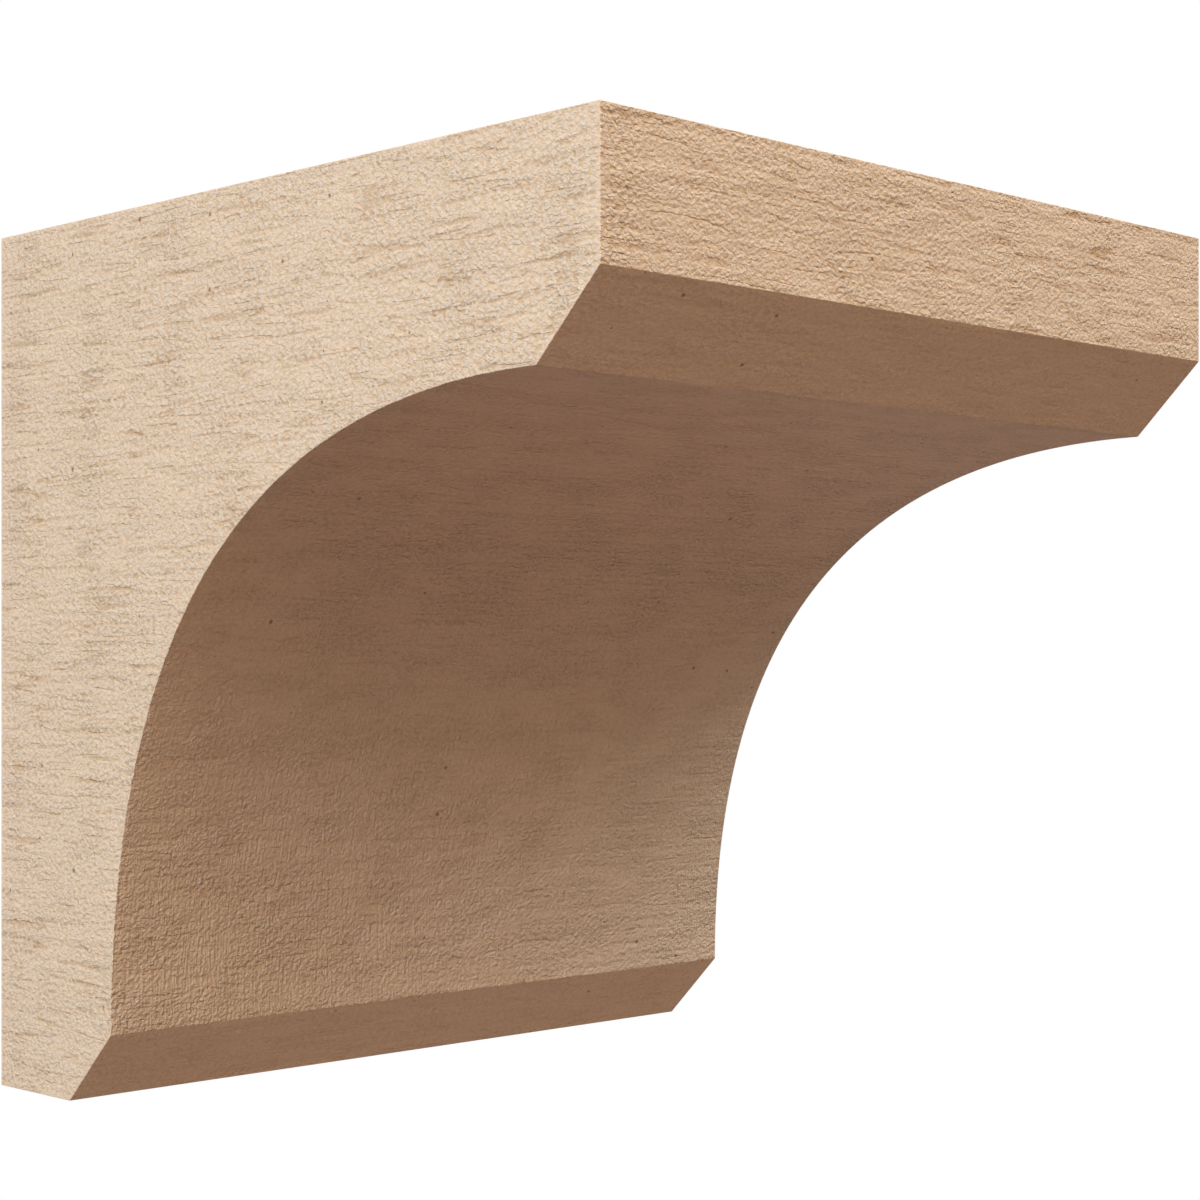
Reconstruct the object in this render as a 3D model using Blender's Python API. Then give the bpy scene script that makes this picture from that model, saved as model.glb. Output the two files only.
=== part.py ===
"""Block corbel cast in one piece, with a plain fascia, a chamfered lip, a deep cove and
a chamfered foot.

Units are metres and +Z is up. The origin is the centre of the flat back, which goes
against the wall. The corbel reaches out from the wall towards -Y, and +X is to the
right of someone who faces it.
"""

import math

import bmesh
import bpy
from mathutils import Vector

COLLECTION_NAME = "polyurethane corbel"

# Block that the corbel fills
WIDTH = 0.3048
PROJECTION = 0.3048
HEIGHT = 0.3048

# Fascia, the upright band at the front, and the lip cut back below it
FASCIA_HEIGHT = 0.04445
LIP_CHAMFER = 0.0254

# Foot, the flat end that stays against the wall at the bottom
FOOT_DEPTH = 0.04445
FOOT_CHAMFER = 0.0254

# Cove between lip and foot: how far its handles reach towards its corner, and its facets
COVE_FULLNESS = 0.648
COVE_STEPS = 48

# Arrises sharper than this stay crisp, and the cove is shaded as one smooth curve
CRISP_ANGLE = math.radians(20)

# Caps and sides of the outline are joined where they are closer than this
JOIN_DISTANCE = 0.00001

# Cast face, a dry light tan
TAN = (0.62, 0.47, 0.33, 1.0)
ROUGHNESS = 0.85


def clear_scene():
    """Remove whatever the open file holds."""
    for thing in list(bpy.data.objects):
        bpy.data.objects.remove(thing, do_unlink=True)


def cast_tan():
    """Dull tan finish of the cast face."""
    material = bpy.data.materials.new("cast tan")
    material.use_nodes = True
    shader = material.node_tree.nodes["Principled BSDF"]
    shader.inputs["Base Color"].default_value = TAN
    shader.inputs["Roughness"].default_value = ROUGHNESS
    shader.inputs["Metallic"].default_value = 0.0
    material.diffuse_color = TAN
    return material


def outline_corners():
    """Corners of the side view, each as (distance from the wall, height above the foot).

    Beside each corner stand its incoming and outgoing handles, which are None except
    where the cove starts at the lip and ends at the foot.
    """
    lip_edge = Vector((PROJECTION, HEIGHT - FASCIA_HEIGHT))
    cove_top = lip_edge - Vector((LIP_CHAMFER, LIP_CHAMFER))
    cove_foot = Vector((FOOT_DEPTH + FOOT_CHAMFER, FOOT_CHAMFER))
    cove_depth = cove_top.x - cove_foot.x
    cove_height = cove_top.y - cove_foot.y
    level_handle = cove_top - Vector((COVE_FULLNESS * cove_depth, 0.0))
    upright_handle = cove_foot + Vector((0.0, COVE_FULLNESS * cove_height))
    return [
        (Vector((0.0, HEIGHT)), None, None),
        (Vector((PROJECTION, HEIGHT)), None, None),
        (lip_edge, None, None),
        (cove_top, None, level_handle),
        (cove_foot, upright_handle, None),
        (Vector((FOOT_DEPTH, 0.0)), None, None),
        (Vector((0.0, 0.0)), None, None),
    ]


def outline_curve():
    """Flat closed curve of the side view, as thick as the corbel is wide."""
    curve = bpy.data.curves.new("corbel outline", "CURVE")
    curve.dimensions = "2D"
    curve.fill_mode = "BOTH"
    curve.extrude = WIDTH / 2
    curve.resolution_u = COVE_STEPS
    corners = outline_corners()
    spline = curve.splines.new("BEZIER")
    spline.bezier_points.add(len(corners) - 1)
    spline.use_cyclic_u = True
    for point, (place, handle_in, handle_out) in zip(spline.bezier_points, corners):
        point.co = place.to_3d()
        point.handle_left_type = "VECTOR"
        point.handle_right_type = "VECTOR"
        if handle_in is not None:
            point.handle_left_type = "FREE"
            point.handle_left = handle_in.to_3d()
        if handle_out is not None:
            point.handle_right_type = "FREE"
            point.handle_right = handle_out.to_3d()
    return curve


def closed_mesh(curve_object, name):
    """Mesh of a filled curve with its caps joined to its sides and its arrises crisp."""
    depsgraph = bpy.context.evaluated_depsgraph_get()
    mesh = bpy.data.meshes.new_from_object(curve_object.evaluated_get(depsgraph))
    mesh.name = name
    shape = bmesh.new()
    shape.from_mesh(mesh)
    bmesh.ops.remove_doubles(shape, verts=shape.verts, dist=JOIN_DISTANCE)
    shape.to_mesh(mesh)
    shape.free()
    mesh.shade_smooth()
    mesh.set_sharp_from_angle(angle=CRISP_ANGLE)
    return mesh


def build_corbel(collection):
    """Stand the outline up so that its distances run out from the wall along -Y."""
    guide = bpy.data.objects.new("corbel outline", outline_curve())
    guide.rotation_euler = (math.pi / 2, 0.0, -math.pi / 2)
    guide.location = (0.0, 0.0, -HEIGHT / 2)
    collection.objects.link(guide)
    bpy.context.view_layer.update()

    corbel = bpy.data.objects.new("corbel", closed_mesh(guide, "corbel"))
    corbel.matrix_world = guide.matrix_world
    corbel.data.materials.clear()
    corbel.data.materials.append(cast_tan())
    collection.objects.link(corbel)
    bpy.data.objects.remove(guide, do_unlink=True)
    return corbel


def main():
    clear_scene()
    collection = bpy.data.collections.new(COLLECTION_NAME)
    bpy.context.scene.collection.children.link(collection)
    build_corbel(collection)


main()
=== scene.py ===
"""Looks of the cast foam corbel: its rough-sawn face, its colour and the studio round it.

Everything is in metres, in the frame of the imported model. The back lies against the
wall at y = 0, the corbel reaches out towards -Y, +Z is up, and +X is to the right of
someone who faces it.
"""

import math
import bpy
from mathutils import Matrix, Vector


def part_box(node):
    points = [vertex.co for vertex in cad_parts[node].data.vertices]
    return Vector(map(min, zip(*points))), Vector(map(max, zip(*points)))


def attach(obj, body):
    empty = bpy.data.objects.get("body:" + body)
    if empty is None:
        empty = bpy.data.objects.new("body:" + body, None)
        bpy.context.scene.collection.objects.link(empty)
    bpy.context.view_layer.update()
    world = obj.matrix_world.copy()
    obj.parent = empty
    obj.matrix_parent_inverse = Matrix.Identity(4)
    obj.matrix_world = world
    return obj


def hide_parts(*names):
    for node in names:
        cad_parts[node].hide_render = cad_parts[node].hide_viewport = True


bl_info = {
    "name": "Rough-Sawn Cast Corbel",
    "version": (1, 0, 0),
    "blender": (4, 5, 0),
    "location": "3D View > Sidebar > Corbel",
    "description": "Builds a cast foam corbel with a rough-sawn face, and a studio for it",
    "category": "Add Mesh",
}

import bmesh
import bpy
import numpy as np
from bpy.props import (
    FloatProperty,
    FloatVectorProperty,
    IntProperty,
    PointerProperty,
)
from bpy.types import Operator, Panel, PropertyGroup
from mathutils import Vector, kdtree
from mathutils.geometry import delaunay_2d_cdt

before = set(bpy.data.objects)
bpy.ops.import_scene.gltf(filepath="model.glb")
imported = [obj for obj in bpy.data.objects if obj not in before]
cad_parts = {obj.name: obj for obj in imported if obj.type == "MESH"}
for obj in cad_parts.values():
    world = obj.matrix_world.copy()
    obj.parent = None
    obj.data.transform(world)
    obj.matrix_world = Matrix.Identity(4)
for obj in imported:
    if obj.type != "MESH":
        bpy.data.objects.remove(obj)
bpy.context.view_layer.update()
CAD_LOW, CAD_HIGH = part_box("corbel")
BLOCK = CAD_HIGH - CAD_LOW

MM = 0.001

# Names that the mesh, the relief and the finish share
GRAIN_MAP = "grain"
BAKE_MAP = "OFBake"
RELIEF_SHARE = "relief_share"
GRAIN_SHARE = "grain_share"
WEAVE_SHARE = "weave_share"
RELIEF_HEIGHT = "relief_height"

# How strong the grain is on each face; the back, which nobody sees, is plainest
GRAIN_SHARES = {
    "top": 1.0,
    "fascia": 1.15,
    "lip": 0.8,
    "cove": 1.95,
    "foot": 1.4,
    "underside": 0.85,
    "back": 0.6,
    "side": 1.65,
}

# How strong the relief that the mesh carries is
RELIEF_SHARES = {
    "top": 1.0,
    "fascia": 1.0,
    "lip": 0.8,
    "cove": 0.9,
    "foot": 1.2,
    "underside": 0.8,
    "back": 0.4,
    "side": 0.7,
}

# How strong the upright scratches are, which cross the grain
WEAVE_SHARES = {
    "top": 0.4,
    "fascia": 0.1,
    "lip": 0.8,
    "cove": 1.0,
    "foot": 0.8,
    "underside": 0.6,
    "back": 0.75,
    "side": 0.15,
}

# Runs of the outline from the fascia's top to the foot, which bound the side view
FRONT_RUNS = ("fascia", "lip", "cove", "foot")

# Stretches of the strip that lie on the sheet in one piece each, and the gap between them
STRETCHES = {
    "top": ("top",),
    "front": ("fascia", "lip", "cove", "foot", "underside"),
    "back": ("back",),
}
SHEET_GAP = 4 * MM

# Size of the top and the back on the sheet, next to that of the faces in view
HIDDEN_SCALE = 0.5

# Sideways shift of the grain on the two sides, so that no two faces match
SIDE_SHIFT = 1.0

# Radius that is left inside an arris where it turns the corner of a side
ARRIS_CORE = 0.1 * MM

# Turns sharper than this stay crisp; only the rounding of the arrises has them
CRISP_ANGLE = math.radians(10)

# Width of a cell of the net that holds at most one pit
PIT_SPACING = 20 * MM

# Soft lights: degrees round from the front, degrees up, size in metres, watts and colour
LIGHTS = {
    "key light": (60, 50, 1.5, 30.6, (0.71, 0.905, 1.0)),
    "front light": (0, 61, 1.5, 19.8, (0.82, 0.965, 1.0)),
    "warm fill": (-15, 35, 1.5, 21.6, (0.99, 0.655, 0.35)),
    "left light": (-88, 9, 0.45, 37.9, (0.745, 0.845, 0.885)),
    "upper left light": (-75, 30, 0.45, 10.0, (0.90, 0.97, 1.0)),
    "low light": (0, -88, 1.5, 13.5, (1.0, 0.69, 0.52)),
    "low rear light": (120, -30, 1.5, 5.9, (0.731, 0.885, 1.0)),
    "right light": (100, 10, 0.45, 13.0, (1.0, 0.80, 0.62)),
}


class CorbelSizes(PropertyGroup):
    """Sizes of the block and of its outline, as in the solid that it stands for"""

    width: FloatProperty(
        name="Width", description="Width across the wall",
        default=BLOCK.x, min=0.05, subtype="DISTANCE", unit="LENGTH",
    )
    projection: FloatProperty(
        name="Projection", description="How far the fascia stands out from the wall",
        default=BLOCK.y, min=0.05, subtype="DISTANCE", unit="LENGTH",
    )
    height: FloatProperty(
        name="Height", description="Height of the back",
        default=BLOCK.z, min=0.05, subtype="DISTANCE", unit="LENGTH",
    )
    fascia_height: FloatProperty(
        name="Fascia Height", description="Height of the upright band at the front",
        default=0.04445, min=0.005, subtype="DISTANCE", unit="LENGTH",
    )
    lip_chamfer: FloatProperty(
        name="Lip Chamfer", description="How far the lip is cut back below the fascia",
        default=0.0254, min=0.002, subtype="DISTANCE", unit="LENGTH",
    )
    foot_depth: FloatProperty(
        name="Foot Depth", description="Depth of the flat underside at the wall",
        default=0.04445, min=0.005, subtype="DISTANCE", unit="LENGTH",
    )
    foot_chamfer: FloatProperty(
        name="Foot Chamfer", description="How far the foot is cut back",
        default=0.0254, min=0.002, subtype="DISTANCE", unit="LENGTH",
    )
    cove_fullness: FloatProperty(
        name="Cove Fullness", description="Reach of the cove's handles; 0.552 is round",
        default=0.648, min=0.3, max=0.9,
    )
    arris_radius: FloatProperty(
        name="Arris Radius", description="Rounding that the mould leaves on each arris",
        default=0.25 * MM, min=0.1 * MM, subtype="DISTANCE", unit="LENGTH",
    )


class CorbelMesh(PropertyGroup):
    """How closely the faces are divided to carry the relief"""

    column_pitch: FloatProperty(
        name="Column Pitch", description="Spacing of points across the front",
        default=2.25 * MM, min=1 * MM, subtype="DISTANCE", unit="LENGTH",
    )
    fascia_pitch: FloatProperty(
        name="Fascia Pitch", description="Spacing of points down the fascia and chamfers",
        default=1.3 * MM, min=0.5 * MM, subtype="DISTANCE", unit="LENGTH",
    )
    cove_pitch: FloatProperty(
        name="Cove Pitch", description="Spacing of points down the cove",
        default=1.5 * MM, min=0.5 * MM, subtype="DISTANCE", unit="LENGTH",
    )
    top_pitch: FloatProperty(
        name="Top Pitch", description="Spacing of points over the top and the underside",
        default=3.4 * MM, min=1 * MM, subtype="DISTANCE", unit="LENGTH",
    )
    back_pitch: FloatProperty(
        name="Back Pitch", description="Spacing of points down the back",
        default=7 * MM, min=1 * MM, subtype="DISTANCE", unit="LENGTH",
    )
    side_length: FloatProperty(
        name="Side Length", description="Spacing of points along the grain of a side",
        default=2.5 * MM, min=1 * MM, subtype="DISTANCE", unit="LENGTH",
    )
    side_width: FloatProperty(
        name="Side Width", description="Spacing of points across the grain of a side",
        default=1.35 * MM, min=0.5 * MM, subtype="DISTANCE", unit="LENGTH",
    )


class CorbelRelief(PropertyGroup):
    """Depths and sizes of the sawn relief that the mesh carries"""

    depth: FloatProperty(
        name="Depth", description="Height of the relief from hollow to crest",
        default=0.9 * MM, min=0.0, subtype="DISTANCE", unit="LENGTH",
    )
    swell_length: FloatProperty(
        name="Swell Length", description="Length of a swelling along the grain",
        default=16 * MM, min=1 * MM, subtype="DISTANCE", unit="LENGTH",
    )
    swell_width: FloatProperty(
        name="Swell Width", description="Width of a swelling across the grain",
        default=5 * MM, min=1 * MM, subtype="DISTANCE", unit="LENGTH",
    )
    fade: FloatProperty(
        name="Fade", description="Width beside an arris over which the relief dies out",
        default=2.5 * MM, min=0.1 * MM, subtype="DISTANCE", unit="LENGTH",
    )
    seed: IntProperty(
        name="Seed", description="Changes the chance pattern", default=7, min=0,
    )


class CorbelFinish(PropertyGroup):
    """Colours of the cast face and depths of the grain that is finer than the mesh"""

    tan: FloatVectorProperty(
        name="Tan", description="Main colour of the cast face",
        default=(0.72, 0.518, 0.352), size=3, min=0.0, max=1.0, subtype="COLOR",
    )
    # Pale on crests is partly painted highlight; on the drifts it is a paler tone
    pale: FloatVectorProperty(
        name="Pale", description="Colour of crests and of dry patches",
        default=(0.775, 0.63, 0.522), size=3, min=0.0, max=1.0, subtype="COLOR",
    )
    # Brown in creases, dashes and pits stands partly for a stain and partly for painted shade
    brown: FloatVectorProperty(
        name="Brown", description="Colour down in creases and pits",
        default=(0.39, 0.19, 0.055), size=3, min=0.0, max=1.0, subtype="COLOR",
    )
    roughness: FloatProperty(
        name="Roughness", description="Dullness of the face", default=0.86,
        min=0.0, max=1.0, subtype="FACTOR",
    )
    grain_depth: FloatProperty(
        name="Grain Depth", description="Depth of the fine grain",
        default=0.36 * MM, min=0.0, subtype="DISTANCE", unit="LENGTH",
    )
    pit_radius: FloatProperty(
        name="Pit Radius", description="Radius of the pits that bubbles leave",
        default=0.55 * MM, min=0.1 * MM, subtype="DISTANCE", unit="LENGTH",
    )
    pit_share: FloatProperty(
        name="Pit Share", description="Share of the net's cells that hold a pit",
        default=0.2, min=0.0, max=1.0, subtype="FACTOR",
    )


class CorbelStudio(PropertyGroup):
    """Camera, floor, sky and lights"""

    camera_place: FloatVectorProperty(
        name="Camera Place", description="Where the camera stands",
        default=(-0.61778, -0.76984, -0.00019), size=3, subtype="TRANSLATION",
        unit="LENGTH",
    )
    camera_yaw: FloatProperty(
        name="Camera Yaw", description="How far to the right of straight ahead it looks",
        default=math.radians(44.96), subtype="ANGLE", unit="ROTATION",
    )
    lens: FloatProperty(
        name="Lens", description="Focal length in millimetres on a 36 mm sensor",
        default=72.81, min=1.0,
    )
    lens_shift: FloatVectorProperty(
        name="Lens Shift", description="Sideways and upward shift as shares of the frame",
        default=(0.00199, 0.05183), size=2, min=-0.2, max=0.2,
    )
    light_distance: FloatProperty(
        name="Light Distance", description="How far the lights stand from the middle",
        default=2.4, min=0.5, subtype="DISTANCE", unit="LENGTH",
    )
    sky_light: FloatVectorProperty(
        name="Sky Light", description="Light from all round above",
        default=(0.423, 0.374, 0.318), size=3, min=0.0, max=2.0, subtype="COLOR",
    )
    ground_light: FloatVectorProperty(
        name="Ground Light", description="Light thrown up from below",
        default=(0.100, 0.067, 0.056), size=3, min=0.0, max=2.0, subtype="COLOR",
    )
    floor_depth: FloatProperty(
        name="Floor Depth", description="How far the floor lies below the corbel's middle",
        default=2.8, min=0.2, subtype="DISTANCE", unit="LENGTH",
    )
    floor_radius: FloatProperty(
        name="Floor Radius", description="Radius of the round floor",
        default=12.0, min=1.0, subtype="DISTANCE", unit="LENGTH",
    )
    floor_glow: FloatProperty(
        name="Floor Glow", description="Light of its own that keeps the floor white",
        default=0.8, min=0.0,
    )


def turned_left(steps):
    """Each flat vector turned a quarter to its left."""
    return np.stack([-steps[:, 1], steps[:, 0]], axis=1)


def reach_along(path):
    """Distance along a path at each of its points."""
    steps = np.linalg.norm(np.diff(path, axis=0), axis=1)
    return np.concatenate([[0.0], np.cumsum(steps)])


def cove_path(start, end, fullness, count=600):
    """Points down the cove, which leaves the lip level and meets the foot upright."""
    t = np.linspace(0.0, 1.0, count)[:, None]
    reach, drop = start[0] - end[0], start[1] - end[1]
    level = start - np.array([fullness * reach, 0.0])
    upright = end + np.array([0.0, fullness * drop])
    return (
        (1 - t) ** 3 * start
        + 3 * (1 - t) ** 2 * t * level
        + 3 * (1 - t) * t**2 * upright
        + t**3 * end
    )


def outline_runs(sizes, mesh):
    """Paths of the side view in turn, over the top and down the front, with their pitches.

    A point is (distance from the wall, height above the middle).
    """
    top = sizes.height / 2
    lip = top - sizes.fascia_height
    corners = {
        "top back": (0.0, top),
        "top front": (sizes.projection, top),
        "lip": (sizes.projection, lip),
        "cove top": (sizes.projection - sizes.lip_chamfer, lip - sizes.lip_chamfer),
        "cove foot": (sizes.foot_depth + sizes.foot_chamfer, sizes.foot_chamfer - top),
        "foot": (sizes.foot_depth, -top),
        "foot back": (0.0, -top),
    }
    at = {name: np.array(corner) for name, corner in corners.items()}

    def straight(start, end):
        return np.array([at[start], at[end]])

    cove = cove_path(at["cove top"], at["cove foot"], sizes.cove_fullness)
    return [
        ("top", straight("top back", "top front"), mesh.top_pitch),
        ("fascia", straight("top front", "lip"), mesh.fascia_pitch),
        ("lip", straight("lip", "cove top"), mesh.fascia_pitch),
        ("cove", cove, mesh.cove_pitch),
        ("foot", straight("cove foot", "foot"), mesh.fascia_pitch),
        ("underside", straight("foot", "foot back"), mesh.top_pitch),
        ("back", straight("foot back", "top back"), mesh.back_pitch),
    ]


def eased(share):
    """Smooth step from 0 to 1 of shares below 0 to above 1."""
    held = np.clip(share, 0.0, 1.0)
    return held * held * (3 - 2 * held)


def outline_ring(sizes, mesh):
    """Closed ring of points round the side view, with every arris rounded.

    Gives the points, their outward normals, how far round each lies with the whole way
    round at the end, how far each is from its arris, and the name of its run.
    """
    runs = outline_runs(sizes, mesh)
    radius = sizes.arris_radius + ARRIS_CORE
    slopes = [np.gradient(path, reach_along(path), axis=0) for _, path, _ in runs]
    turns = [math.acos(slopes[k - 1][-1] @ slopes[k][0]) for k in range(len(runs))]
    points, normals, reaches, clearances, names = [], [], [], [], []
    begun = 0.0
    for k, (name, path, pitch) in enumerate(runs):
        along = reach_along(path)
        turn = turns[(k + 1) % len(runs)]
        first = radius * math.tan(turns[k] / 2)
        last = along[-1] - radius * math.tan(turn / 2)
        at = np.linspace(first, last, round((last - first) / pitch) + 1)
        slope = np.stack([np.interp(at, along, slopes[k][:, n]) for n in (0, 1)], axis=1)
        points.append(np.stack([np.interp(at, along, path[:, n]) for n in (0, 1)], axis=1))
        normals.append(turned_left(slope / np.linalg.norm(slope, axis=1)[:, None]))
        reaches.append(begun + at - first)
        clearances.append(np.minimum(at - first, last - at))
        begun += last - first

        # The arris after the run, which bends round to the right
        inner = 2 if turn > math.radians(60) else 1
        angles = turn * np.arange(1, inner + 1) / (inner + 1)
        level, rise = normals[-1][-1]
        cosines, sines = np.cos(angles), np.sin(angles)
        arc = np.stack([level * cosines + rise * sines, rise * cosines - level * sines], axis=1)
        middle = points[-1][-1] - radius * normals[-1][-1]
        points.append(middle + radius * arc)
        normals.append(arc)
        reaches.append(begun + radius * angles)
        clearances.append(np.zeros(inner))
        begun += radius * turn
        names += [name] * (len(at) + inner)
    reaches.append([begun])
    joined = [np.concatenate(part) for part in (points, normals, reaches, clearances)]
    return (*joined, names)


def columns_across(sizes, mesh):
    """Place across the width of each column of points, and how far its outline is drawn in."""
    edge = sizes.width / 2 - sizes.arris_radius
    bends = np.radians([90.0, 60.0, 30.0])
    out = sizes.arris_radius * np.sin(bends)
    drawn_in = sizes.arris_radius * (1 - np.cos(bends))
    flat = np.linspace(-edge, edge, round(2 * edge / mesh.column_pitch) + 1)
    places = np.concatenate([-edge - out, flat, (edge + out)[::-1]])
    insets = np.concatenate([drawn_in, np.zeros(len(flat)), drawn_in[::-1]])
    return places, insets


def rim_tree(rim, spacing):
    """Tree of points set closely along a closed rim, to measure how far off it a point is."""
    close = []
    for start, end in zip(rim, np.roll(rim, -1, axis=0)):
        count = math.ceil(np.linalg.norm(end - start) / spacing)
        close.append(start + np.arange(count)[:, None] / count * (end - start))
    close = np.concatenate(close)
    tree = kdtree.KDTree(len(close))
    for n, (distance, height) in enumerate(close):
        tree.insert((distance, height, 0.0), n)
    tree.balance()
    return tree


def side_points(rim, sizes, mesh):
    """Staggered points inside the side view, closer together across the grain.

    Gives the points and how far each is off the rim.
    """
    tree = rim_tree(rim, mesh.side_width / 3)
    front = np.concatenate(
        [path for name, path, _ in outline_runs(sizes, mesh) if name in FRONT_RUNS]
    )
    rows = round(sizes.height / mesh.side_width)
    points, clearances = [], []
    for n in range(1, rows):
        height = sizes.height * (n / rows - 0.5)
        limit = np.interp(-height, -front[:, 1], front[:, 0])
        for distance in np.arange(0.5 + 0.5 * (n % 2), limit / mesh.side_length):
            point = (distance * mesh.side_length, height)
            off_rim = tree.find((*point, 0.0))[2]
            if off_rim > 0.7 * mesh.side_width:
                points.append(point)
                clearances.append(off_rim)
    return np.array(points), np.array(clearances)


def filled(points, rim_count):
    """Triangles that fill the rim, which is the first of the points, and join up the rest."""
    found = delaunay_2d_cdt(
        [Vector(point) for point in points], [], [list(range(rim_count))[::-1]], 1, 1e-9
    )
    back = np.array([sources[0] for sources in found[3]])
    return back[np.array(found[2])]


def sheet_layout(sizes, names, reach):
    """Corner on the sheet, first reach and scale of each stretch of the strip and each side."""
    stretch = {}
    for stretch_name, members in STRETCHES.items():
        own = [n for n, name in enumerate(names) if name in members]
        stretch[stretch_name] = (reach[own[0]], reach[own[-1] + 1])
    second = sizes.projection + SHEET_GAP
    front_end = stretch["front"][1] - stretch["front"][0] + SHEET_GAP
    half = HIDDEN_SCALE * sizes.width + SHEET_GAP
    return {
        "left side": ((0.0, 0.0), 0.0, 1.0),
        "right side": ((0.0, sizes.height + SHEET_GAP), 0.0, 1.0),
        "front": ((second, 0.0), stretch["front"][0], 1.0),
        "top": ((second, front_end), stretch["top"][0], HIDDEN_SCALE),
        "back": ((second + half, front_end), stretch["back"][0], HIDDEN_SCALE),
    }


def write_map(body, name, places):
    """Give a mesh a UV map."""
    layer = body.uv_layers.new(name=name)
    layer.data.foreach_set("uv", places.astype(np.float32).ravel())


def write_share(body, name, values):
    """Give a mesh one value at each point."""
    attribute = body.attributes.new(name, "FLOAT", "POINT")
    attribute.data.foreach_set("value", values.astype(np.float32).ravel())


def blank_casting(sizes, mesh, relief):
    """Closed mesh of the block, rounded at its arrises and ready for the relief.

    Its maps follow the faces: one in metres for the grain, and one laid out on a square
    sheet. Two values at each point say how much relief and how much grain it takes.
    """
    ring, normals, reach, clearance, names = outline_ring(sizes, mesh)
    places, insets = columns_across(sizes, mesh)
    layout = sheet_layout(sizes, names, reach)
    count, columns = len(ring), len(places)
    section = ring - insets[:, None, None] * normals

    # The strip of quads that runs over the top, down the front and up the back
    strip = np.stack(
        [np.repeat(places[:, None], count, axis=1), -section[..., 0], section[..., 1]], axis=2
    )
    level = np.array([GRAIN_SHARES[name] for name in names])
    inside = sizes.width / 2 - sizes.arris_radius - np.abs(places)
    clear = np.minimum(clearance, np.clip(inside, 0.0, None)[:, None])
    vertices = [strip.reshape(-1, 3)]
    raised = np.array([RELIEF_SHARES[name] for name in names])
    relief_shares = [(raised * eased(clear / relief.fade)).ravel()]
    grain_shares = [np.repeat(level[None], columns, axis=0).ravel()]
    weave = np.array([WEAVE_SHARES[name] for name in names])
    weave_shares = [np.repeat(weave[None], columns, axis=0).ravel()]

    column, point = np.meshgrid(np.arange(columns - 1), np.arange(count), indexing="ij")
    column, point = column.reshape(-1, 1), point.reshape(-1, 1)
    corner_column = column + np.array([0, 0, 1, 1])
    corner_point = point + np.array([0, 1, 1, 0])
    faces = (corner_column * count + corner_point % count).tolist()
    corner_x, corner_reach = places[corner_column], reach[corner_point]
    grain_places = [np.stack([corner_x, -corner_reach], axis=2).reshape(-1, 2)]
    stretch_of = {member: key for key, members in STRETCHES.items() for member in members}
    corner, first, scale = zip(*[layout[stretch_of[name]] for name in names])
    along = np.stack([corner_x + sizes.width / 2, corner_reach - np.array(first)[point]], axis=2)
    on_sheet = np.array(corner)[point] + along * np.array(scale)[point][..., None]
    sheet_places = [on_sheet.reshape(-1, 2)]

    # The two sides, each filled with triangles out to the strip's last column
    for side, column in ((-1, 0), (1, columns - 1)):
        inner, off_rim = side_points(section[column], sizes, mesh)
        flat = np.concatenate([section[column], inner])
        triangles = filled(flat, count)[:, ::-side]
        placed = sum(len(part) for part in vertices)
        number = np.concatenate([column * count + np.arange(count), placed + np.arange(len(inner))])
        faces += number[triangles].tolist()
        x = np.full(len(inner), side * sizes.width / 2)
        vertices.append(np.stack([x, -inner[:, 0], inner[:, 1]], axis=1))
        relief_shares.append(RELIEF_SHARES["side"] * eased(off_rim / relief.fade))
        grain_shares.append(np.full(len(inner), GRAIN_SHARES["side"]))
        weave_shares.append(np.full(len(inner), WEAVE_SHARES["side"]))
        distance, height = flat[triangles].reshape(-1, 2).T
        across = -side * distance
        grain_places.append(np.stack([across + side * SIDE_SHIFT, height], axis=1))
        corner = layout["left side" if side < 0 else "right side"][0]
        start = (sizes.projection if side > 0 else 0.0, sizes.height / 2)
        sheet_places.append(np.stack([across, height], axis=1) + start + corner)

    body = bpy.data.meshes.new("blank casting")
    body.from_pydata(np.concatenate(vertices).tolist(), [], faces)
    sheet = np.concatenate(sheet_places)
    sheet = (sheet + SHEET_GAP) / (sheet.max() + 2 * SHEET_GAP)
    write_map(body, GRAIN_MAP, np.concatenate(grain_places))
    write_map(body, BAKE_MAP, sheet)
    write_share(body, RELIEF_SHARE, np.concatenate(relief_shares))
    write_share(body, GRAIN_SHARE, np.concatenate(grain_shares))
    write_share(body, WEAVE_SHARE, np.concatenate(weave_shares))
    body.shade_smooth()
    body.set_sharp_from_angle(angle=CRISP_ANGLE)
    return body


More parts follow.
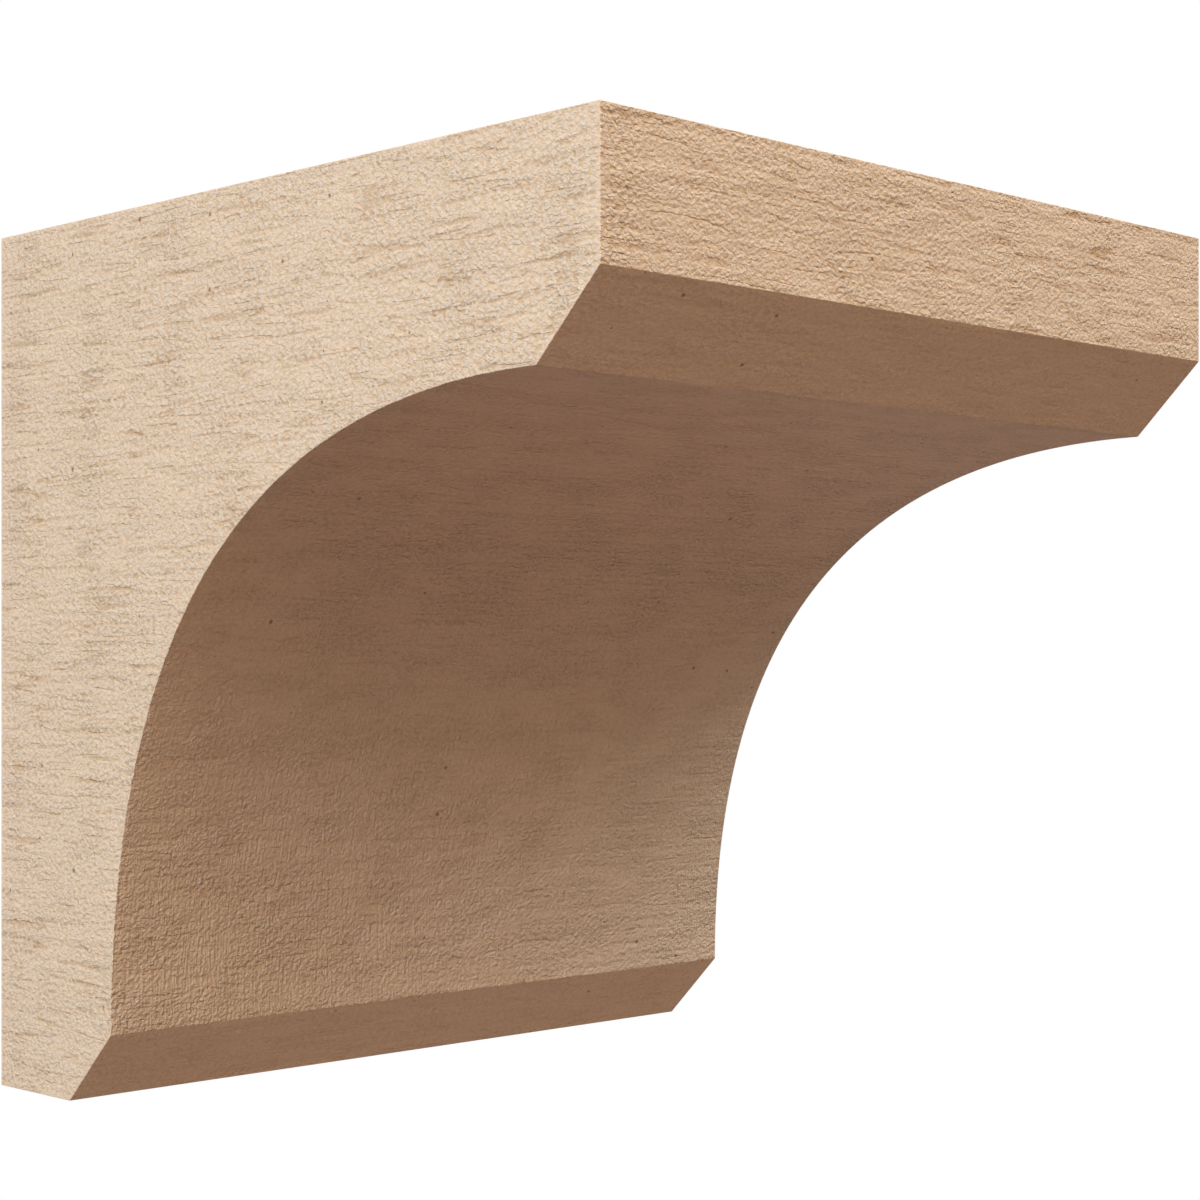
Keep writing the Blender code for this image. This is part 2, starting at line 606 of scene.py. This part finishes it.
class Sketch:
    """A node tree with short calls that add a node, wire it and hand on its output"""

    def __init__(self, tree):
        self.tree = tree

    def node(self, kind, **settings):
        added = self.tree.nodes.new(kind)
        for name, value in settings.items():
            setattr(added, name, value)
        return added

    def wire(self, socket, value):
        """Link an output to a socket, or set the socket to a plain value."""
        if isinstance(value, bpy.types.NodeSocket):
            self.tree.links.new(value, socket)
        else:
            socket.default_value = value

    def call(self, kind, *values, **settings):
        """Add a node, fill its first inputs and give its first output."""
        added = self.node(kind, **settings)
        for socket, value in zip(added.inputs, values):
            self.wire(socket, value)
        return added.outputs[0]

    def maths(self, operation, *values):
        return self.call("ShaderNodeMath", *values, operation=operation)

    def product(self, first, *rest):
        for value in rest:
            first = self.maths("MULTIPLY", first, value)
        return first

    def total(self, first, *rest):
        for value in rest:
            first = self.maths("ADD", first, value)
        return first

    def vector(self, x, y):
        return self.call("ShaderNodeCombineXYZ", x, y)

    def vectors(self, operation, *values):
        return self.call("ShaderNodeVectorMath", *values, operation=operation)

    def stepped(self, value, low, high, start=0.0, end=1.0):
        """Smooth step from start, where the value is low, to end, where it is high."""
        return self.call(
            "ShaderNodeMapRange", value, low, high, start, end, interpolation_type="SMOOTHSTEP"
        )

    def stretched(self, place, length, width, shift=0.0):
        """The place in units of a feature's length along the grain and its width across it."""
        units = self.vectors("DIVIDE", place, self.vector(length, width))
        return self.vectors("ADD", units, (shift, shift, 0.0))

    def chance(self, place, length, width, shift=0.0, detail=0.0, roughness=0.5):
        """Smooth chance value, mostly from -0.3 to 0.3, with features of a length and width."""
        noise = self.node("ShaderNodeTexNoise", noise_dimensions="2D")
        self.wire(noise.inputs["Vector"], self.stretched(place, length, width, shift))
        self.wire(noise.inputs["Scale"], 1.0)
        self.wire(noise.inputs["Detail"], detail)
        self.wire(noise.inputs["Roughness"], roughness)
        return self.maths("SUBTRACT", noise.outputs[0], 0.5)


def wavered(sketch, place):
    """The place moved a little across the grain, so that lines along the grain waver."""
    slow = sketch.chance(place, 34 * MM, 14 * MM, shift=3.1)
    quick = sketch.chance(place, 5 * MM, 3 * MM, shift=8.7)
    shift = sketch.total(sketch.product(slow, 0.9 * MM), sketch.product(quick, 0.6 * MM))
    return sketch.vectors("ADD", place, sketch.vector(0.0, shift))


def crease(sketch, wavering, place, grit, band):
    """1 along the bottom of each crease and 0 beside it; grit makes creases ragged."""
    field = sketch.chance(wavering, 60 * MM, 4.4 * MM, shift=5.3)
    ragged = sketch.maths("ABSOLUTE", sketch.total(field, sketch.product(grit, 0.15)))
    valley = sketch.stepped(ragged, 0.0, 0.05, 1.0, 0.0)
    patch = sketch.chance(place, 18 * MM, 5 * MM, shift=1.9, detail=1.0)
    broken = sketch.total(patch, sketch.product(grit, -0.5), sketch.product(band, 0.1))
    return sketch.product(valley, sketch.stepped(broken, -0.07, 0.15))


def rough_patch(sketch, place):
    """How rough the sawn face is, from smooth patches to torn ones."""
    patch = sketch.chance(place, 30 * MM, 14 * MM, shift=12.4, detail=1.5)
    return sketch.stepped(patch, -0.16, 0.18, 0.85, 1.15)


def relief_tree():
    """Geometry Nodes that raise and sink the points of the blank along their normals."""
    tree = bpy.data.node_groups.new("sawn relief", "GeometryNodeTree")
    face = tree.interface
    face.new_socket("Geometry", in_out="OUTPUT", socket_type="NodeSocketGeometry")
    face.new_socket("Geometry", in_out="INPUT", socket_type="NodeSocketGeometry")
    for name in ("Depth", "Swell Length", "Swell Width"):
        face.new_socket(name, in_out="INPUT", socket_type="NodeSocketFloat")
    face.new_socket("Seed", in_out="INPUT", socket_type="NodeSocketInt")
    face.new_socket("Material", in_out="INPUT", socket_type="NodeSocketMaterial")

    sketch = Sketch(tree)
    given = sketch.node("NodeGroupInput").outputs

    def named(attribute, kind):
        return sketch.call("GeometryNodeInputNamedAttribute", attribute, data_type=kind)

    shift = sketch.product(given["Seed"], 17.13 * MM)
    place = sketch.vectors("ADD", named(GRAIN_MAP, "FLOAT_VECTOR"), sketch.vector(shift, shift))
    wavering = wavered(sketch, place)
    broad = sketch.chance(place, 60 * MM, 32 * MM, shift=2.2, detail=1.0)
    swell = sketch.chance(wavering, given["Swell Length"], given["Swell Width"], shift=7.9)
    height = sketch.total(
        sketch.product(broad, 0.9),
        sketch.product(swell, 0.55, rough_patch(sketch, place)),
    )
    height = sketch.product(height, named(RELIEF_SHARE, "FLOAT"))
    push = sketch.node("ShaderNodeVectorMath", operation="SCALE")
    sketch.wire(push.inputs["Vector"], sketch.node("GeometryNodeInputNormal").outputs[0])
    sketch.wire(push.inputs["Scale"], sketch.product(height, given["Depth"]))

    moved = sketch.node("GeometryNodeSetPosition")
    sketch.wire(moved.inputs["Geometry"], given["Geometry"])
    sketch.wire(moved.inputs["Offset"], push.outputs[0])
    stored = sketch.node("GeometryNodeStoreNamedAttribute", data_type="FLOAT", domain="POINT")
    sketch.wire(stored.inputs["Geometry"], moved.outputs[0])
    sketch.wire(stored.inputs["Name"], RELIEF_HEIGHT)
    sketch.wire(stored.inputs["Value"], height)
    real = sketch.call("GeometryNodeRealizeInstances", stored.outputs[0])
    dressed = sketch.node("GeometryNodeSetMaterial")
    sketch.wire(dressed.inputs["Geometry"], real)
    sketch.wire(dressed.inputs["Material"], given["Material"])
    sketch.wire(sketch.node("NodeGroupOutput").inputs[0], dressed.outputs[0])
    return tree


def set_inputs(modifier, values):
    """Set a modifier's named inputs by the identifiers of their sockets."""
    for item in modifier.node_group.interface.items_tree:
        if item.in_out == "INPUT" and item.name in values:
            modifier[item.identifier] = values[item.name]


def cast_finish(finish, seed):
    """Dull cast foam with the grain, fibres, creases and pits that are finer than the mesh."""
    material = bpy.data.materials.new("sawn cast foam")
    material.use_nodes = True
    sketch = Sketch(material.node_tree)
    shader = material.node_tree.nodes["Principled BSDF"]

    offset = 17.13 * MM * seed
    mapped = sketch.node("ShaderNodeUVMap", uv_map=GRAIN_MAP).outputs[0]
    place = sketch.vectors("ADD", mapped, (offset, offset, 0.0))
    wavering = wavered(sketch, place)
    share = sketch.node("ShaderNodeAttribute", attribute_name=GRAIN_SHARE).outputs["Fac"]
    relief = sketch.node("ShaderNodeAttribute", attribute_name=RELIEF_HEIGHT).outputs["Fac"]
    rough = rough_patch(sketch, place)
    grit = sketch.chance(place, 2.2 * MM, 1.8 * MM, shift=4.4, detail=3.0, roughness=0.64)
    uneven = sketch.product(sketch.chance(place, 1.6 * MM, 1.3 * MM, shift=17.7), 1.3 * MM)
    nudged = sketch.vectors("ADD", place, sketch.vector(uneven, uneven))
    crumbs = sketch.node("ShaderNodeTexVoronoi", voronoi_dimensions="2D")
    sketch.wire(crumbs.inputs["Vector"], sketch.stretched(nudged, 1.7 * MM, 1.35 * MM, 9.9))
    sketch.wire(crumbs.inputs["Scale"], 1.0)
    crumb = sketch.maths("SUBTRACT", 0.4, crumbs.outputs["Distance"])

    # Saw bands: upright strips where the blade tore the face a little more
    steps = sketch.call("ShaderNodeSeparateXYZ", place)
    swing = sketch.chance(place, 50 * MM, 40 * MM, shift=21.7, detail=1.0)
    count = sketch.total(sketch.product(steps, 1 / (47 * MM)), sketch.product(swing, 0.2))
    off_band = sketch.maths("ABSOLUTE", sketch.total(sketch.maths("FRACT", count), -0.5))
    torn = sketch.chance(place, 70 * MM, 90 * MM, shift=31.3)
    weave = sketch.node("ShaderNodeAttribute", attribute_name=WEAVE_SHARE).outputs["Fac"]
    plain = sketch.maths("SUBTRACT", 1.0, weave)
    band = sketch.product(
        sketch.stepped(off_band, 0.05, 0.18, 1.0, 0.0),
        sketch.stepped(torn, -0.16, 0.02),
        plain,
    )
    sunk = crease(sketch, wavering, place, grit, band)

    # Rows of grit along the grain and the blade's upright scratches
    row = sketch.chance(wavering, 38 * MM, 2.8 * MM, shift=6.1, detail=1.0)
    scratch = sketch.chance(place, 0.95 * MM, 9 * MM, shift=9.5, detail=1.0)
    patchy = sketch.product(sketch.total(rough, -1.0), weave, 0.7)
    torn_share = sketch.total(rough, sketch.product(row, 0.8), sketch.product(band, 0.25), patchy)
    grain = sketch.product(
        sketch.total(sketch.product(grit, 1.2), sketch.product(crumb, 0.8)),
        sketch.maths("MAXIMUM", torn_share, 0.3),
    )
    low = sketch.total(row, sketch.product(grit, 0.45), sketch.product(band, -0.04))
    dash = sketch.stepped(low, -0.30, -0.10, 1.0, 0.0)
    height = sketch.total(
        grain,
        sketch.product(row, 0.7),
        sketch.product(dash, -0.2),
        sketch.product(scratch, sketch.maths("MAXIMUM", weave, sketch.product(band, 0.4)), 0.85),
        sketch.product(sunk, -0.3),
    )
    height = sketch.product(height, share, finish.grain_depth)

    # Pits left by bubbles, in a few of the cells of a wide irregular net
    cells = sketch.node("ShaderNodeTexVoronoi", voronoi_dimensions="2D")
    sketch.wire(cells.inputs["Vector"], sketch.stretched(place, PIT_SPACING, PIT_SPACING, 2.6))
    sketch.wire(cells.inputs["Scale"], 1.0)
    ragged = sketch.product(sketch.chance(place, 0.7 * MM, 0.7 * MM), 0.02)
    from_pit = sketch.total(cells.outputs["Distance"], ragged)
    pick = sketch.call("ShaderNodeSeparateColor", cells.outputs["Color"])
    chosen = sketch.maths("GREATER_THAN", pick, 1 - finish.pit_share)
    wide = sketch.product(
        sketch.total(pick.node.outputs[1], 0.4), finish.pit_radius / PIT_SPACING
    )
    from_pit = sketch.maths("DIVIDE", from_pit, wide)
    pit = sketch.product(sketch.stepped(from_pit, 0.6, 1.3, 1.0, 0.0), chosen)
    height = sketch.total(height, sketch.product(pit, -0.6 * finish.pit_radius))

    bump = sketch.node("ShaderNodeBump")
    sketch.wire(bump.inputs["Strength"], 1.0)
    sketch.wire(bump.inputs["Distance"], 1.0)
    sketch.wire(bump.inputs["Height"], height)
    sketch.wire(shader.inputs["Normal"], bump.outputs[0])

    # Colour: paler and darker drifts, crests painted paler than hollows as partly painted
    # highlight, and brown down in creases, hollows and pits, partly a stain and partly painted
    # shade
    drift = sketch.chance(place, 30 * MM, 12 * MM, shift=14.2, detail=3.0, roughness=0.6)
    # Mask of brown in creases, dashes and pits: partly a stain, partly painted shade where the
    # hollows would be shaded
    stain_and_shade = sketch.maths(
        "MAXIMUM",
        sketch.product(pit, 0.9),
        sketch.product(
            sketch.total(dash, sunk), sketch.total(sketch.product(plain, 0.29), 0.06)
        ),
    )
    # Crests painted paler than hollows: partly painted highlight, partly a paler tone that follows
    # the drifts
    face = sketch.node("ShaderNodeMix", data_type="RGBA")
    crest = sketch.product(
        sketch.total(grain, sketch.product(drift, 0.1)),
        sketch.total(sketch.product(plain, 0.5), 0.6),
    )
    sketch.wire(face.inputs[0], sketch.stepped(crest, -0.42, 0.42))
    sketch.wire(face.inputs[6], (*finish.tan, 1.0))
    sketch.wire(face.inputs[7], (*finish.pale, 1.0))
    # Brown laid into the creases, dashes and pits: partly a stain, partly painted shade
    stained_and_shaded = sketch.node("ShaderNodeMix", data_type="RGBA")
    sketch.wire(stained_and_shaded.inputs[0], stain_and_shade)
    sketch.wire(stained_and_shaded.inputs[6], face.outputs[2])
    sketch.wire(stained_and_shaded.inputs[7], (*finish.brown, 1.0))
    sketch.wire(shader.inputs["Base Color"], stained_and_shaded.outputs[2])
    sketch.wire(shader.inputs["Specular IOR Level"], 0.3)
    dull = sketch.total(sketch.product(drift, 0.15), finish.roughness)
    sketch.wire(shader.inputs["Roughness"], sketch.total(dull, sketch.product(stain_and_shade, 0.1)))
    return material


class CORBEL_OT_build_casting(Operator):
    """Build the sawn face of the casting over the plain solid"""

    bl_idname = "corbel.build_casting"
    bl_label = "Build Casting"

    def execute(self, context):
        scene = context.scene
        relief = scene.corbel_relief
        blank = blank_casting(scene.corbel_sizes, scene.corbel_mesh, relief)
        carrier = bpy.data.objects.new("blank casting", blank)
        scene.collection.objects.link(carrier)
        modifier = carrier.modifiers.new("sawn relief", "NODES")
        modifier.node_group = relief_tree()
        set_inputs(
            modifier,
            {
                "Depth": relief.depth,
                "Swell Length": relief.swell_length,
                "Swell Width": relief.swell_width,
                "Seed": relief.seed,
                "Material": cast_finish(scene.corbel_finish, relief.seed),
            },
        )
        depsgraph = context.evaluated_depsgraph_get()
        sawn = bpy.data.meshes.new_from_object(
            carrier.evaluated_get(depsgraph), preserve_all_data_layers=True, depsgraph=depsgraph
        )
        carrier.modifiers.remove(modifier)
        bpy.data.objects.remove(carrier)
        sawn.name = "sawn casting"
        piece = bpy.data.objects.new("sawn_casting", sawn)
        scene.collection.objects.link(piece)
        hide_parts("corbel")
        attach(piece, "root")
        return {"FINISHED"}


def soft_light(scene, name, across, up, size, watts, colour):
    """Square light that faces the corbel's middle from a direction in degrees."""
    studio = scene.corbel_studio
    lamp = bpy.data.lights.new(name, "AREA")
    lamp.shape = "SQUARE"
    lamp.size = size
    lamp.energy = watts
    lamp.color = colour
    light = bpy.data.objects.new(name, lamp)
    turn, rise = math.radians(across), math.radians(up)
    away = Vector(
        (math.sin(turn) * math.cos(rise), -math.cos(turn) * math.cos(rise), math.sin(rise))
    )
    light.location = (CAD_LOW + CAD_HIGH) / 2 + studio.light_distance * away
    light.rotation_euler = away.to_track_quat("Z", "Y").to_euler()
    light.visible_camera = False
    scene.collection.objects.link(light)


def studio_sky(scene):
    """White where the camera sees it, with soft light above and dim warm light below."""
    studio = scene.corbel_studio
    world = bpy.data.worlds.new("studio sky")
    world.use_nodes = True
    scene.world = world
    sketch = Sketch(world.node_tree)
    background = world.node_tree.nodes["Background"]
    way = sketch.node("ShaderNodeTexCoord").outputs["Generated"]
    rise = sketch.node("ShaderNodeSeparateXYZ")
    sketch.wire(rise.inputs[0], way)
    light = sketch.node("ShaderNodeMix", data_type="RGBA")
    sketch.wire(light.inputs[0], sketch.stepped(rise.outputs[2], -0.05, 0.05))
    sketch.wire(light.inputs[6], (*studio.ground_light, 1.0))
    sketch.wire(light.inputs[7], (*studio.sky_light, 1.0))
    seen = sketch.node("ShaderNodeMix", data_type="RGBA")
    sketch.wire(seen.inputs[0], sketch.node("ShaderNodeLightPath").outputs["Is Camera Ray"])
    sketch.wire(seen.inputs[6], light.outputs[2])
    sketch.wire(seen.inputs[7], (1.0, 1.0, 1.0, 1.0))
    sketch.wire(background.inputs["Color"], seen.outputs[2])


def studio_floor(scene):
    """Wide white floor well below the corbel, which takes no part in its light."""
    studio = scene.corbel_studio
    disc = bmesh.new()
    bmesh.ops.create_circle(disc, cap_ends=True, radius=studio.floor_radius, segments=96)
    bmesh.ops.translate(disc, verts=disc.verts, vec=(0.0, 0.0, -studio.floor_depth))
    sheet = bpy.data.meshes.new("studio floor")
    disc.to_mesh(sheet)
    disc.free()
    white = bpy.data.materials.new("studio white")
    white.use_nodes = True
    shader = white.node_tree.nodes["Principled BSDF"]
    shader.inputs["Base Color"].default_value = (0.9, 0.9, 0.9, 1.0)
    shader.inputs["Roughness"].default_value = 0.9
    shader.inputs["Emission Color"].default_value = (1.0, 1.0, 1.0, 1.0)
    shader.inputs["Emission Strength"].default_value = studio.floor_glow
    white.cycles.emission_sampling = "NONE"
    sheet.materials.append(white)
    floor = bpy.data.objects.new("studio_floor", sheet)
    floor.visible_diffuse = False
    floor.visible_glossy = False
    floor.visible_shadow = False
    scene.collection.objects.link(floor)


def studio_camera(scene):
    """Camera where the photograph was taken, level and turned towards the near arris."""
    studio = scene.corbel_studio
    camera = bpy.data.objects.new("camera", bpy.data.cameras.new("camera"))
    camera.location = studio.camera_place
    camera.rotation_euler = (math.pi / 2, 0.0, -studio.camera_yaw)
    camera.data.sensor_width = 36.0
    camera.data.lens = studio.lens
    camera.data.shift_x, camera.data.shift_y = studio.lens_shift
    scene.collection.objects.link(camera)
    scene.camera = camera


class CORBEL_OT_build_studio(Operator):
    """Build the floor, the sky, the lights and the camera round the casting"""

    bl_idname = "corbel.build_studio"
    bl_label = "Build Studio"

    def execute(self, context):
        scene = context.scene
        scene.view_settings.view_transform = "Standard"
        studio_floor(scene)
        studio_sky(scene)
        for name, setting in LIGHTS.items():
            soft_light(scene, name, *setting)
        studio_camera(scene)
        return {"FINISHED"}


class CORBEL_PT_panel(Panel):
    """Sizes, colours and steps of the corbel"""

    bl_label = "Corbel"
    bl_space_type = "VIEW_3D"
    bl_region_type = "UI"
    bl_category = "Corbel"

    def draw(self, context):
        for name in PROPERTY_GROUPS:
            box = self.layout.box()
            group = getattr(context.scene, name)
            box.label(text=name.replace("_", " ").capitalize())
            for setting in group.__annotations__:
                box.prop(group, setting)
        for operator in OPERATORS:
            self.layout.operator(operator.bl_idname)


PROPERTY_GROUPS = {
    "corbel_sizes": CorbelSizes,
    "corbel_mesh": CorbelMesh,
    "corbel_relief": CorbelRelief,
    "corbel_finish": CorbelFinish,
    "corbel_studio": CorbelStudio,
}
OPERATORS = (CORBEL_OT_build_casting, CORBEL_OT_build_studio)
CLASSES = (*PROPERTY_GROUPS.values(), *OPERATORS, CORBEL_PT_panel)


def register():
    for cls in CLASSES:
        bpy.utils.register_class(cls)
    for name, group in PROPERTY_GROUPS.items():
        setattr(bpy.types.Scene, name, PointerProperty(type=group))


def unregister():
    for name in PROPERTY_GROUPS:
        delattr(bpy.types.Scene, name)
    for cls in reversed(CLASSES):
        bpy.utils.unregister_class(cls)


def main():
    register()
    bpy.ops.corbel.build_casting()
    bpy.ops.corbel.build_studio()


if __name__ == "__main__":
    main()
